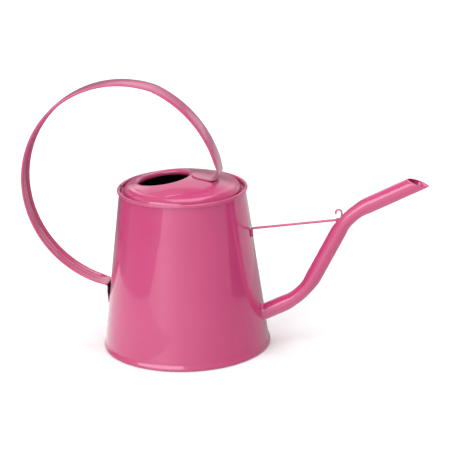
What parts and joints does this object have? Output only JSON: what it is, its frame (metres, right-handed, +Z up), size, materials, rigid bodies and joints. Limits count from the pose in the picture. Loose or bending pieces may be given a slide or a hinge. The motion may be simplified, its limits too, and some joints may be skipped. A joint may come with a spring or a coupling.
{
  "type": "watering can",
  "caption": "Painted sheet-metal watering can with a tapered body, domed cover with a fill hole, strap handle over the top, bent spout and wire brace.",
  "frame": {"origin": "centre of the base, on the surface that the can stands on", "axes": "+Z up; +X from the body's axis towards the spout; -X towards the handle's rear sweep; the XZ plane is the plane of symmetry"},
  "size_m": [0.3621, 0.15, 0.2391],
  "materials": {
    "enamel": "glossy pink enamel on thin sheet steel, with light orange peel and small chips",
    "enamelled_solder": "the same glossy enamel over a lumpy solder fillet",
    "bare_solder": "dull bare solder inside the can",
    "seam_compound": "matt grey sealing compound in the base seam"
  },
  "bodies": {
    "root": {"body_wall": "enamel", "side_seam_solder": "bare_solder", "base_plate": "enamel", "base_seal": "seam_compound", "top_cover": "enamel", "cover_solder": "enamelled_solder", "spout_tube": "enamel", "spout_solder": "enamelled_solder", "handle_strap": "enamel", "brace_rod": "enamel", "brace_wall_solder": "enamelled_solder", "brace_spout_solder": "enamelled_solder", "brace_hook": "enamel"}
  },
  "joints": []
}
